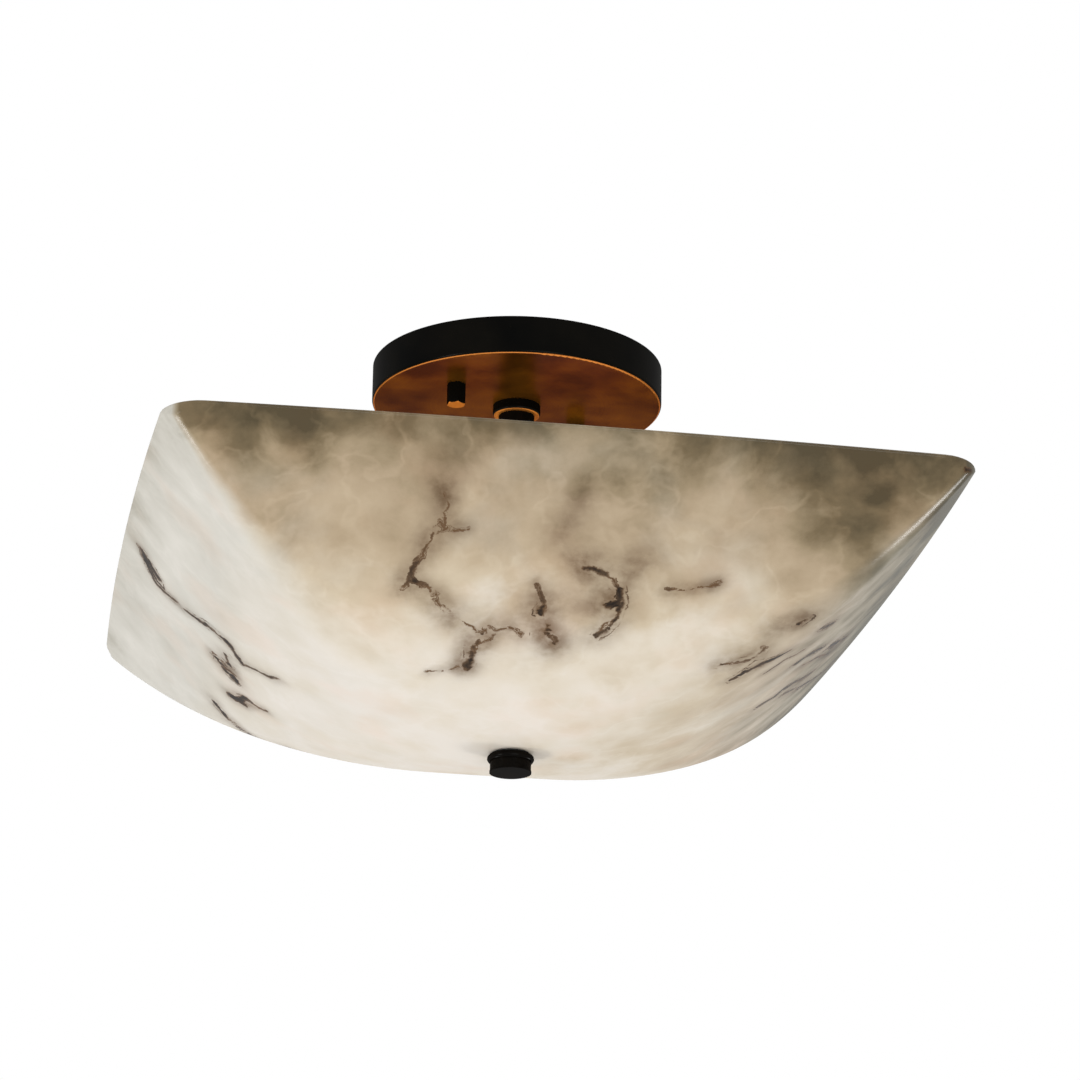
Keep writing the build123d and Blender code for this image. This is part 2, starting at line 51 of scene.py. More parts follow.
# Square lamps: name, place, side, watts, colour and what they are aimed at
LAMPS = (
    ("key_left", (-1.7, -0.9, -0.7), 0.5, 10.0, WHITE, CAMERA_AIM),
    ("crease_left", (-0.86, 0.17, -1.08), 0.26, 3.8, WHITE, CAMERA_AIM),
    ("from_front", (0.4, -1.9, -0.7), 1.0, 11.0, WHITE, CAMERA_AIM),
    ("from_above", (0.6, -0.4, 1.5), 1.2, 12.0, WHITE, CAMERA_AIM),
    ("low_right", (1.05, 0.42, -0.86), 0.26, 4.6, WHITE, CAMERA_AIM),
    ("in_the_bowl", (0.0, 0.0, -0.085), 0.2, 0.19, BULB_WHITE, CEILING_MIDDLE),
)

# ------------------------------------------------------------------ bowl, as in the CAD
HALF_SIDE_MM = 178.0
SIDE_BOW_MM = 4.0
BOWL_DEPTH_MM = 91.0
BOWL_WALL_MM = 5.0
DOME_POWER = 2.3
SEAT_HALF_MM = 19.0
CREASE_R_MM = 6.0
INNER_CREASE_R_MM = 18.0
CREASE_FADE = 1.55
RIM_CORNER_R_MM = 20.0
RIM_CUT_IN_MM = 0.9
RIM_Z_MM = -93.0
RIM_EDGE_R_MM = 1.0
RIM_EDGE_Z_MM = RIM_Z_MM - RIM_EDGE_R_MM
BOWL_HOLE_R_MM = 5.6
BOWL_LOW_MM = RIM_Z_MM - BOWL_DEPTH_MM
SEAT_SHARE = SEAT_HALF_MM / HALF_SIDE_MM

SIDE_STEPS = 96
CORNER_STEPS = 16
OUTER_ROWS = 72
RIM_ROWS = 18                        # finer rows, where the rim's corners are cut
RIM_SHARE = 0.95                     # of the half side: where they start
INNER_ROWS = 40
SEAT_ROWS = 5
RIM_STEPS = 6
HALVINGS = 24                        # of the span in which the height over a point of the plan is sought

# ------------------------------------------------------------------ painting of the bowl
# Painted shade on the front, 0 pale to 1 dark, by how far down from the rim it is as a share of the depth
SHADE_FALL = (0.0, 0.03, 0.08, 0.13, 0.24, 0.35, 0.46, 0.57, 0.68, 0.79, 0.9, 1.0)
SHADE_TONE = (0.93, 0.87, 0.79, 0.71, 0.6, 0.54, 0.47, 0.38, 0.3, 0.2, 0.12, 0.09)
# The left side is paler by painted light, and the right side darker by painted shade
LEFT_PALER = 0.5                     # share of that tone that the left side lacks
RIGHT_DARKER = 0.24                  # tone that the right side has more, times its own fall:
RIGHT_FALL = (0.0, 0.1, 0.7, 1.0)
RIGHT_TONE = (0.2, 1.0, 1.0, 0.4)
CREASE_BLEND_HIGH_MM = 6.0           # over which the tone changes at a crease, near the rim
CREASE_BLEND_LOW_MM = 75.0           # and near the bottom
# Painted cool light greys the sides from this height up
COOL_LIGHT_FROM_MM = -176.0                # height from which the sides turn grey
COOL_LIGHT_OVER_MM = 45.0
RIGHT_COOL_LIGHT = 0.6
HALO_STRENGTH = 0.55
STAIN_STRENGTH = 1.5
FAR_AWAY = 1.0                       # distance before any vein is found

# Veins of the stone look: thickness and reach of the halo in mm, then points (x, y) of the plan in mm
CRACKS = (
    (3.8, 5, ((-169, -10), (-166, -2), (-161, 8), (-156, 8), (-152, 6))),
    (2.4, 4, ((-152, 6), (-148, 6), (-142, 1), (-136, -3), (-130, -3))),
    (3.3, 5, ((-130, -3), (-125, 4), (-121, 8))),
    (2.7, 4, ((-168, -11), (-164, -4), (-160, 0))),
    (1.7, 4, ((-120, 7), (-114, 3), (-109, 2), (-105, -4))),
    (4.5, 6, ((-130, 27), (-126, 33), (-121, 36))),
    (3.1, 6, ((-128, 15), (-125, 22))),
    (5.7, 7, ((-120, 59), (-117, 56), (-115, 50))),
    (1.3, 4, ((-115, 52), (-106, 47))),
    (2.5, 6, ((-127, 85), (-123, 90), (-119, 95), (-113, 98), (-104, 104))),
    (1.1, 5, ((-55, -155), (-52, -150), (-52, -146), (-51, -141))),
    (0.9, 4, ((-51, -141), (-46, -141), (-42, -142))),
    (1.5, 6, ((-55, -142), (-56, -139), (-58, -133), (-62, -125), (-64, -119), (-65, -116))),
    (1.9, 5, ((-62, -120), (-57, -118), (-51, -115))),
    (1.0, 7, ((-50, -112), (-42, -105), (-35, -101), (-30, -99))),
    (3.7, 7, ((-29, -96), (-31, -91), (-32, -83), (-33, -80))),
    (1.8, 4, ((-33, -80), (-32, -76))),
    (0.9, 3, ((-35, -79), (-41, -76), (-48, -73))),
    (1.1, 4, ((-31, -89), (-28, -93), (-25, -96))),
    (0.8, 4, ((-26, -102), (-23, -101), (-18, -102), (-12, -99))),
    (1.4, 4, ((-9, -123), (-7, -118), (-4, -114))),
    (3.7, 6, ((-5, -113), (-6, -111))),
    (1.3, 4, ((-4, -112), (-2, -105))),
    (1.8, 7, ((-3, -101), (4, -97))),
    (2.4, 6, ((10, -131), (15, -131))),
    (3.0, 7, ((14, -131), (20, -128), (26, -123), (28, -117), (27, -110), (24, -104), (21, -101))),
    (3.5, 6, ((22, -115), (25, -116))),
    (1.2, 3, ((25, -109), (22, -103))),
    (1.1, 4, ((46, -124), (50, -124))),
    (0.4, 3, ((50, -124), (56, -124), (65, -126))),
    (1.4, 4, ((65, -126), (69, -128))),
    (2.4, 6, ((78, -86), (88, -86), (94, -89), (95, -94))),
    (3.2, 6, ((86, -71), (92, -75), (97, -78), (104, -80), (110, -80))),
    (2.6, 5, ((108, -105), (112, -109))),
    (2.8, 5, ((123, -86), (129, -79))),
    (3.5, 6, ((121, -40), (128, -41), (136, -33))),
    (6.1, 7, ((142, -22), (153, -2))),
    (4.3, 6, ((117, 13), (123, 14), (127, 8), (134, 13), (143, 26))),
    (3.6, 6, ((131, 25), (143, 45), (155, 66), (166, 79))),
    (2.4, 2, ((167, -170), (171, -168))),
    (2.0, 6, ((60, 158), (48, 140), (50, 120), (38, 104), (36, 88))),
    (1.3, 5, ((50, 120), (66, 108), (70, 96))),
    (2.6, 7, ((-80, 150), (-88, 128), (-82, 110), (-90, 92))),
    (1.2, 5, ((-82, 110), (-66, 104), (-60, 112))),
    (3.3, 6, ((12, 92), (8, 86))),
    (1.5, 5, ((4, 78), (-8, 70), (-10, 60))),
    (1.8, 6, ((112, 120), (104, 128), (92, 126))),
    (1.6, 3, ((-133, 24), (-127, 24), (-129, 30), (-122, 30))),
    (1.5, 3, ((-119, 62), (-114, 58), (-118, 55))),
    (1.2, 4, ((-116, 92), (-109, 97), (-105, 104), (-97, 107))),
    (1.8, 5, ((128, -24), (139, -13), (146, 2))),
    (1.2, 5, ((104, -60), (112, -66), (121, -62))),
)

# Soft stains beside the veins: (x, y) of the plan, radius in mm and strength
STAINS = (
    (-55, -155, 5, 0.3), (-52, -150, 6, 0.3), (-52, -163, 11, 0.25), (-64, -118, 6, 0.4), (-58, -136, 6, 0.3),
    (-43, -106, 8, 0.25), (-32, -90, 7, 0.35), (-33, -81, 5, 0.5), (-6, -111, 5, 0.45), (-12, -108, 17, 0.22),
    (0, -99, 6, 0.4), (3, -92, 7, 0.35), (14, -118, 15, 0.3), (60, -125, 9, 0.12), (6, -161, 4, 0.2),
    (4, -154, 4, 0.2), (0, -147, 4, 0.25), (-2, -141, 4, 0.3), (2, -136, 4, 0.35), (7, -133, 4, 0.4),
    (0, -146, 9, 0.22), (4, -156, 8, 0.2), (11, -131, 6, 0.35), (23, -115, 6, 0.35), (30, -132, 7, 0.6),
    (38, -137, 8, 0.25), (98, -108, 7, 0.6), (108, -112, 7, 0.4), (86, -88, 12, 0.28), (126, -83, 6, 0.45),
    (-118, 57, 6, 0.5), (-126, 28, 7, 0.35), (45, 130, 14, 0.3), (-84, 118, 14, 0.35), (10, 89, 9, 0.5),
    (104, 126, 12, 0.3), (150, 8, 10, 0.3),
)

# Broad clouds: (x, y) of the plan, radius in mm and how much darker, or paler below zero, the stone is there
CLOUDS = (
    (-122, -172, 20, 0.18), (-100, -158, 14, -0.12), (-112, -160, 14, 0.1), (-116, -143, 12, 0.08),
    (-137, -168, 14, 0.1), (-48, -166, 16, 0.14), (-22, -167, 14, -0.1), (-18, -148, 16, -0.08),
    (4, -160, 12, 0.06), (52, -170, 24, 0.02), (-56, -175, 16, -0.16), (6, -176, 16, -0.2),
    (96, -172, 30, 0.08), (108, -160, 24, 0.12), (134, -162, 24, 0.14), (160, -164, 18, 0.12),
    (116, -148, 20, 0.14), (110, -130, 20, 0.12), (62, -152, 18, -0.06), (-42, -122, 18, -0.1),
    (-68, -132, 14, 0.06), (88, -128, 14, -0.05), (-60, -100, 20, -0.06), (60, -104, 24, -0.05),
    (-70, 168, 30, 0.18), (30, 172, 26, 0.14), (120, 160, 24, 0.22), (10, 130, 24, -0.1),
    (172, -120, 22, 0.2), (174, 60, 24, 0.12), (160, 130, 24, 0.12),
)

# ------------------------------------------------------------------ stone look
# Colours from pale to dark by tone, as seen on a screen
WARM_STONE = (
    (0.0, (238, 230, 219)), (0.14, (229, 218, 200)), (0.28, (213, 197, 171)), (0.42, (198, 179, 151)),
    (0.56, (184, 164, 136)), (0.7, (162, 144, 115)), (0.85, (124, 108, 81)), (1.0, (88, 77, 56)),
)
# Colours for the sides in painted cool light, and for the stone's grey patches
COOL_LIT_AND_GREY_STONE = (
    (0.0, (234, 229, 221)), (0.2, (220, 216, 206)), (0.4, (205, 201, 190)), (0.6, (176, 171, 157)),
    (0.8, (132, 128, 111)), (1.0, (90, 87, 72)),
)
ROSY = (255, 241, 233)
STAIN = (130, 108, 86)
VEIN_EDGE = (104, 76, 50)
THIN_VEIN = (106, 80, 56)
THICK_VEIN = (26, 20, 15)
THIN_TO_THICK = (0.0003, 0.0013)     # half widths between which a vein turns from brown to black
CLOUD_SWIRL = 0.034
VEIN_MEANDER = 0.006
VEIN_RAGGED = 0.0032
VEIN_LEAST = 0.0001                  # half width that every vein has
FRINGE_END = (0.0035, 0.0055)        # distances from a vein between which its fringe ends

# ------------------------------------------------------------------ threads, inside the envelopes of the CAD
ROD_R_MM = 4.8
ROD_LOW_MM = -190.9
ROD_TOP_MM = -111.5
ROD_PITCH_MM = 1.25
ROD_THREAD_MM = 0.5
LAMP_Z_MM = -106.0
LAMP_ANGLES = (225, 45)
BULB_START_MM = 36.3                 # from the middle of the fixture along the lamp's axis
BASE_START_MM = BULB_START_MM + 3.0
BASE_END_MM = BASE_START_MM + 28.5
BASE_R_MM = 13.1
BASE_PITCH_MM = 3.63
BASE_THREAD_MM = 0.9
BASE_PLAIN_MM = 1.2                  # without thread at its inner end
BASE_NECK_MM = 4.0                   # and at the glass
CAP, GLASS, SOLDER = 0, 1, 2         # material numbers of a bulb base
TIP_STEPS_MM = ((0.0, 4.0, SOLDER), (0.4, 4.5, SOLDER), (0.8, 4.6, GLASS), (1.0, 4.6, GLASS))
SHOULDER_STEPS_MM = ((0.0, 11.1, CAP), (0.0, 12.4, CAP), (0.7, 13.1, CAP))
THREAD_ROWS = 8                      # for each turn
ROUND_STEPS = 40
SHARP_ANGLE = math.radians(50)


# ------------------------------------------------------------------ shader helpers
class Shader:
    """A material's node tree, built call by call."""

    def __init__(self, name):
        self.material = bpy.data.materials.new(name)
        self.material.use_nodes = True
        self.tree = self.material.node_tree
        self.tree.nodes.clear()
        self.surface = self.add("ShaderNodeBsdfPrincipled")
        output = self.add("ShaderNodeOutputMaterial")
        self.link(self.surface.outputs["BSDF"], output.inputs["Surface"])
        coordinates = self.add("ShaderNodeTexCoord")
        self.place = coordinates.outputs["Object"]
        self.normal = coordinates.outputs["Normal"]

    def add(self, kind, **settings):
        node = self.tree.nodes.new(kind)
        for name, value in settings.items():
            setattr(node, name, value)
        return node

    def link(self, start, end):
        self.tree.links.new(start, end)

    def feed(self, socket, value):
        """Set a socket to a number or colour, or link it to another socket."""
        if isinstance(value, bpy.types.NodeSocket):
            self.link(value, socket)
        else:
            socket.default_value = value

    def set(self, **values):
        """Sockets of the surface shader, named with underscores."""
        for name, value in values.items():
            self.feed(self.surface.inputs[name.replace("_", " ")], value)

    def math(self, operation, first, second=0.0, clamp=False):
        node = self.add("ShaderNodeMath", operation=operation, use_clamp=clamp)
        self.feed(node.inputs[0], first)
        self.feed(node.inputs[1], second)
        return node.outputs[0]

    def times(self, first, second):
        return self.math("MULTIPLY", first, second)

    def vector_math(self, operation, first, second=(0.0, 0.0, 0.0)):
        """A vector, or a number for LENGTH and DOT_PRODUCT."""
        node = self.add("ShaderNodeVectorMath", operation=operation)
        self.feed(node.inputs[0], first)
        self.feed(node.inputs[1], second)
        return node.outputs["Value" if operation in ("LENGTH", "DOT_PRODUCT") else "Vector"]

    def scaled(self, vector, factor):
        node = self.add("ShaderNodeVectorMath", operation="SCALE")
        self.feed(node.inputs[0], vector)
        self.feed(node.inputs["Scale"], factor)
        return node.outputs["Vector"]

    def height_of(self, vector):
        node = self.add("ShaderNodeSeparateXYZ")
        self.feed(node.inputs[0], vector)
        return node.outputs["Z"]

    def stretch(self, value, low, high, to_low=0.0, to_high=1.0):
        """A value between low and high, eased to run from to_low to to_high."""
        node = self.add("ShaderNodeMapRange", interpolation_type="SMOOTHSTEP")
        limits = {"Value": value, "From Min": low, "From Max": high, "To Min": to_low, "To Max": to_high}
        for name, number in limits.items():
            self.feed(node.inputs[name], number)
        return node.outputs[0]

    def noise(self, scale, detail, roughness=0.5, place=None, colour=False):
        node = self.add("ShaderNodeTexNoise")
        self.feed(node.inputs["Vector"], place or self.place)
        node.inputs["Scale"].default_value = scale
        node.inputs["Detail"].default_value = detail
        node.inputs["Roughness"].default_value = roughness
        return node.outputs["Color" if colour else "Fac"]

    def lines(self, value, scale, detail):
        """Fine random lines, along which a value stays the same."""
        node = self.add("ShaderNodeTexNoise", noise_dimensions="1D")
        self.feed(node.inputs["W"], value)
        node.inputs["Scale"].default_value = scale
        node.inputs["Detail"].default_value = detail
        return node.outputs["Fac"]

    def cells(self, scale, place, smooth):
        node = self.add("ShaderNodeTexVoronoi", feature="SMOOTH_F1")
        self.feed(node.inputs["Vector"], place)
        node.inputs["Scale"].default_value = scale
        node.inputs["Smoothness"].default_value = smooth
        return node.outputs["Distance"]

    def stray(self, reach, scale, detail, roughness=0.5):
        """A random vector that changes smoothly from place to place, each part within half the reach."""
        random = self.noise(scale, detail, roughness, colour=True)
        return self.scaled(self.vector_math("SUBTRACT", random, (0.5, 0.5, 0.5)), reach)

    def mix(self, share, first, second, blend="MIX"):
        node = self.add("ShaderNodeMix", data_type="RGBA", blend_type=blend)
        colours = [socket for socket in node.inputs if socket.type == "RGBA"]
        self.feed(node.inputs["Factor"], share)
        self.feed(colours[0], first)
        self.feed(colours[1], second)
        return [socket for socket in node.outputs if socket.type == "RGBA"][0]

    def ramp(self, value, stops):
        """Colours, 0 to 255, at positions from 0 to 1."""
        node = self.add("ShaderNodeValToRGB")
        marks = node.color_ramp.elements
        while len(marks) < len(stops):
            marks.new(0.5)
        for mark, (position, colour) in zip(marks, stops):
            mark.position = position
            mark.color = rgb(*colour)
        self.feed(node.inputs["Fac"], value)
        return node.outputs["Color"]

    def attribute(self, name, vector=False):
        node = self.add("ShaderNodeAttribute", attribute_name=name)
        return node.outputs["Vector" if vector else "Fac"]

    def bump(self, height, distance, strength):
        node = self.add("ShaderNodeBump")
        node.inputs["Strength"].default_value = strength
        node.inputs["Distance"].default_value = distance
        self.feed(node.inputs["Height"], height)
        self.link(node.outputs["Normal"], self.surface.inputs["Normal"])


def rgb(red, green, blue):
    """A colour as seen on a screen, 0 to 255, in the renderer's own numbers."""
    def linear(value):
        value /= 255
        return value / 12.92 if value <= 0.04045 else ((value + 0.055) / 1.055) ** 2.4
    return (linear(red), linear(green), linear(blue), 1.0)


def seen_directly(tree):
    """A socket that is 1 for what camera, gloss and glass show, and 0 for light that falls on the object."""
    path = tree.nodes.new("ShaderNodeLightPath")
    seen = path.outputs["Is Camera Ray"]
    for name in ("Is Glossy Ray", "Is Transmission Ray"):
        either = tree.nodes.new("ShaderNodeMath")
        either.operation = "MAXIMUM"
        tree.links.new(seen, either.inputs[0])
        tree.links.new(path.outputs[name], either.inputs[1])
        seen = either.outputs[0]
    return seen


# ------------------------------------------------------------------ materials
def stone_veins(s):
    """How black a point is from the veins, with ragged edges and a torn fringe, and their half width."""
    offset = s.vector_math("ADD", s.attribute("vein_offset", vector=True), s.stray(VEIN_MEANDER, 85.0, 2.0))
    offset = s.vector_math("ADD", offset, s.stray(VEIN_RAGGED, 420.0, 4.0, 0.65))
    sunk = s.vector_math("DOT_PRODUCT", offset, s.normal)
    offset = s.vector_math("SUBTRACT", offset, s.scaled(s.normal, sunk))
    away = s.vector_math("LENGTH", offset)
    swell = s.stretch(s.noise(75.0, 3.0, 0.6), 0.32, 0.66, 0.4, 1.3)
    width = s.times(s.attribute("vein_width"), swell)
    share = s.math("DIVIDE", away, s.math("ADD", width, VEIN_LEAST))
    core = s.stretch(share, 0.15, 1.75, 1.0, 0.0)
    strands = s.stretch(s.lines(away, 1400.0, 1.0), 0.44, 0.6)
    torn = s.stretch(s.noise(120.0, 3.0), 0.4, 0.58)
    fringe = s.times(s.times(s.stretch(share, 0.8, 3.8, 0.95, 0.0), strands), torn)
    near = s.stretch(s.attribute("vein_distance"), *FRINGE_END, 1.0, 0.0)
    fade = s.stretch(s.noise(70.0, 3.0, 0.6), 0.38, 0.6, 0.72, 1.0)
    return s.times(s.times(s.math("MAXIMUM", core, fringe), near), fade), width


def stone_tone(s, clouds_at, lumps):
    """Tone of the stone, 0 pale to 1 dark: the painted shade, clouds of every size and fine pale wisps."""
    broad = s.noise(14.0, 4.0, 0.5, clouds_at)
    fine = s.noise(120.0, 4.0, 0.6)
    blobs = s.cells(44.0, clouds_at, 0.6)
    wisps = s.math("ABSOLUTE", s.math("SUBTRACT", s.noise(22.0, 4.0, 0.55, clouds_at), 0.5))
    mottle = s.times(s.math("SUBTRACT", broad, 0.5), 0.24)
    for pattern, middle, strength in ((lumps, 0.5, 0.33), (fine, 0.5, 0.15), (blobs, 0.4, -0.26)):
        mottle = s.math("ADD", mottle, s.times(s.math("SUBTRACT", pattern, middle), strength))
    mottle = s.math("SUBTRACT", mottle, s.times(s.stretch(wisps, 0.0, 0.035, 1.0, 0.0), 0.04))
    shade_and_clouds = s.attribute("shade_and_clouds")
    mottle = s.times(mottle, s.stretch(shade_and_clouds, 0.05, 0.6, 0.6, 1.25))
    return s.math("ADD", shade_and_clouds, mottle, clamp=True)


def stone_material():
    """Cast stone look: warm and grey clouds, painted cool light on the sides, a rim darkened by painted shade
    and dark ragged veins.
    """
    s = Shader("stone_resin")
    clouds_at = s.vector_math("ADD", s.place, s.stray(CLOUD_SWIRL, 16.0, 3.0))
    lumps = s.noise(42.0, 4.0, 0.55, clouds_at)
    tone = stone_tone(s, clouds_at, lumps)
    # The sides in painted cool light, with random grey patches of the stone
    patches = s.stretch(s.noise(20.0, 3.0, 0.5, clouds_at), 0.48, 0.7, 0.0, 0.28)
    cool_lit_and_grey = s.math("ADD", s.attribute("cool_lit_and_grey"), patches, clamp=True)
    stone = s.mix(cool_lit_and_grey, s.ramp(tone, WARM_STONE), s.ramp(tone, COOL_LIT_AND_GREY_STONE))
    rosy = s.times(s.stretch(s.noise(24.0, 3.0), 0.5, 0.7), 0.4)
    stone = s.mix(rosy, stone, rgb(*ROSY), blend="MULTIPLY")

    uneven = s.stretch(s.noise(90.0, 4.0, 0.6), 0.3, 0.7, 0.6, 1.3)
    stain = s.math("MULTIPLY", s.attribute("stain"), uneven, clamp=True)
    stone = s.mix(stain, stone, rgb(*STAIN), blend="MULTIPLY")
    veins, width = stone_veins(s)
    stone = s.mix(s.times(s.stretch(veins, 0.0, 0.6), 0.85), stone, rgb(*VEIN_EDGE))
    ink = s.mix(s.stretch(width, *THIN_TO_THICK), rgb(*THIN_VEIN), rgb(*THICK_VEIN))
    stone = s.mix(s.stretch(veins, 0.2, 1.0, 0.0, 0.96), stone, ink)
    s.set(Base_Color=stone, Roughness=s.stretch(lumps, 0.3, 0.7, 0.4, 0.5), Specular_IOR_Level=0.0)
    s.set(Coat_Weight=0.3, Coat_Roughness=0.2)
    return s.material


def bronze_material():
    """Oil-rubbed bronze: almost black, with faint brown wear."""
    s = Shader("dark_bronze")
    cloud = s.noise(60.0, 5.0, 0.6)
    s.set(Base_Color=s.ramp(cloud, ((0.3, (6, 5, 4)), (0.7, (18, 14, 10)))), Specular_IOR_Level=0.0)
    s.set(Coat_Weight=0.07, Coat_Roughness=0.2)
    s.set(Roughness=s.stretch(cloud, 0.3, 0.7, 0.3, 0.42))
    s.bump(s.noise(900.0, 3.0, 0.6), 0.00005, 0.15)
    return s.material


def lit_bronze_material(name, under_dark, under_light, edge, rings=0.0):
    """Dark bronze with painted warm light on the faces that look down, and a painted highlight along their
    edges.
    """
    s = Shader(name)
    cloud = s.noise(34.0, 4.0, 0.55)
    down = s.height_of(s.normal)
    # Painted warm light on the faces that look down, and a painted highlight on the bends at their edges
    flat = s.stretch(down, -0.97, -0.9, 1.0, 0.0)
    bend = s.times(s.stretch(down, -0.97, -0.9, 0.0, 1.0), s.stretch(down, -0.85, -0.68, 1.0, 0.0))
    lit_underside = s.ramp(cloud, ((0.32, under_dark), (0.68, under_light)))
    if rings:
        radius = s.vector_math("LENGTH", s.vector_math("MULTIPLY", s.place, (1.0, 1.0, 0.0)))
        brushed = s.times(s.stretch(s.lines(radius, 1800.0, 2.0), 0.4, 0.62), rings)
        lit_underside = s.mix(brushed, lit_underside, rgb(120, 84, 50), blend="MULTIPLY")
    dark = s.ramp(cloud, ((0.3, (5, 5, 4)), (0.7, (15, 13, 9))))
    colour = s.mix(bend, s.mix(flat, dark, lit_underside), rgb(*edge))
    s.set(Base_Color=colour, Specular_IOR_Level=0.0, Specular_Tint=rgb(200, 140, 60))
    s.set(Coat_Weight=0.06, Coat_Roughness=0.2)
    s.set(Metallic=s.times(s.math("MAXIMUM", flat, bend), 0.6))
    s.set(Roughness=s.stretch(cloud, 0.3, 0.7, 0.28, 0.4))
    s.bump(cloud, 0.0001, 0.1)
    return s.material


def zinc_material():
    """Zinc-plated steel with a spangled shine."""
    s = Shader("zinc_steel")
    cloud = s.noise(80.0, 5.0, 0.6)
    s.set(Base_Color=s.ramp(cloud, ((0.3, (128, 127, 121)), (0.7, (170, 168, 161)))), Metallic=0.9)
    s.set(Roughness=s.stretch(cloud, 0.3, 0.7, 0.28, 0.45))
    s.bump(s.noise(1200.0, 3.0, 0.6), 0.00005, 0.2)
    return s.material


def paint_material(name, low, high, roughness, metallic=0.0, scale=60.0, bump=0.1):
    """A cloudy colour between two tones."""
    s = Shader(name)
    cloud = s.noise(scale, 5.0, 0.6)
    s.set(Base_Color=s.ramp(cloud, ((0.3, low), (0.7, high))), Metallic=metallic)
    s.set(Roughness=s.stretch(cloud, 0.3, 0.7, roughness, roughness + 0.1))
    s.bump(s.noise(scale * 10, 3.0), 0.0001, bump)
    return s.material


def floor_material():
    """Pale and nearly even, and brighter where it is seen directly."""
    s = Shader("floor")
    s.set(Base_Color=s.ramp(s.noise(2.0, 5.0, 0.6), ((0.3, (236, 236, 236)), (0.7, (240, 240, 240)))))
    s.set(Roughness=0.85, Emission_Color=(*WHITE, 1.0))
    s.set(Emission_Strength=s.times(seen_directly(s.tree), FLOOR_GLOW))
    return s.material


def make_materials():
    """The materials by the names of the record's slots, and those that only some pieces have."""
    return {
        "stone_resin": stone_material(),
        "dark_bronze": bronze_material(),
        "zinc_steel": zinc_material(),
        "ground_green": paint_material("ground_green", (20, 92, 48), (28, 112, 60), 0.35, 0.4),
        "porcelain": paint_material("porcelain", (232, 230, 223), (240, 238, 232), 0.12),
        "socket_brass": paint_material("socket_brass", (190, 150, 80), (212, 172, 98), 0.25, 1.0),
        "bulb_cap": paint_material("bulb_cap", (196, 196, 192), (216, 216, 212), 0.25, 1.0),
        "frosted_glass": paint_material("frosted_glass", (238, 236, 228), (244, 242, 236), 0.25),
        "gasket_rubber": paint_material("gasket_rubber", (24, 24, 24), (34, 33, 32), 0.7),
        # Painted warm light on the undersides, and a painted highlight at the edges, of canopy, cap nuts and
        # collar
        "canopy_bronze": lit_bronze_material(
            "canopy_bronze", (62, 37, 8), (108, 68, 18), (182, 114, 54), rings=0.2,
        ),
        "turned_bronze": lit_bronze_material(
            "turned_bronze", (138, 84, 32), (180, 116, 50), (170, 106, 46),
        ),
        "black_glass": paint_material("black_glass", (14, 13, 16), (24, 22, 26), 0.12),
        "solder": paint_material("solder", (150, 150, 148), (186, 186, 182), 0.3, 0.9, 400.0, 0.3),
    }


def dress_nodes(frame, materials):
    """Give each CAD node its slot's material, or one with painted warm light where its bronze underside
    shows.
    """
    special = {"canopy": "canopy_bronze"}
    for name in ("cap_nut_near", "cap_nut_far", "stem_collar"):
        special[name] = "turned_bronze"
    slots = {part["node"]: part["material_slot"] for part in frame["record"]["subparts"]}
    for name, node in frame["nodes"].items():
        node.data.materials.clear()
        node.data.materials.append(materials[special.get(name, slots[name])])


# ------------------------------------------------------------------ bowl
def add_mesh(name, points, faces, material, body, replaced):
    """A smooth mesh that rides on a body and stands for the CAD nodes it replaces."""
    data = bpy.data.meshes.new(name)
    data.from_pydata([tuple(point) for point in points], [], faces)
    data.update()
    data.polygons.foreach_set("use_smooth", [True] * len(data.polygons))
    data.materials.append(material)
    piece = bpy.data.objects.new(name, data)
    bpy.context.scene.collection.objects.link(piece)
    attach(piece, body)
    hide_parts(*replaced)
    return piece


def side_rise(share):
    """Height and slope of the bowl's outside over its flat bottom, in mm, at a share of the half side."""
    flat = SEAT_SHARE**DOME_POWER
    full_rise = BOWL_DEPTH_MM / (1 - flat)
    height = full_rise * (share**DOME_POWER - flat)
    slope = full_rise * DOME_POWER * share ** (DOME_POWER - 1) / HALF_SIDE_MM
    return height, slope


def arc_places(half, bow, corner_r):
    """Of a square with bowed sides: a side's radius, its centre behind the axis, and the corner's centre."""
    corner = half - bow
    side_r = (corner**2 + bow**2) / (2 * bow)
    side_centre = side_r - half
    reach = math.sqrt(2 * (side_r - corner_r) ** 2 - side_centre**2)
    return side_r, side_centre, (reach - side_centre) / 2


def corner_radius(half, share, crease_r):
    """Radius of a section's corners: the crease's at the rim, and more the lower the section lies."""
    crease_share = crease_r / HALF_SIDE_MM
    return half * (crease_share + (1 - crease_share) * (1 - share) ** CREASE_FADE)


def bowl_outline(half, share, crease_r=CREASE_R_MM):
    """Points round one section in mm: four bowed sides and four round corners."""
    radius = corner_radius(half, share, crease_r)
    side_r, side_centre, round_centre = arc_places(half, SIDE_BOW_MM * share, radius)
    side_angle = math.atan2(round_centre, round_centre + side_centre)
    points = []
    for i in range(SIDE_STEPS):
        angle = side_angle * (2 * i / SIDE_STEPS - 1)
        points.append((side_r * math.sin(angle), side_centre - side_r * math.cos(angle)))
    corner_angle = math.pi / 2 - 2 * side_angle
    for i in range(CORNER_STEPS):
        angle = side_angle + corner_angle * i / CORNER_STEPS
        points.append((round_centre + radius * math.sin(angle), -round_centre - radius * math.cos(angle)))
    outline = []
    for cos, sin in ((1, 0), (0, 1), (-1, 0), (0, -1)):
        outline += [(x * cos - y * sin, x * sin + y * cos) for x, y in points]
    return np.array(outline)


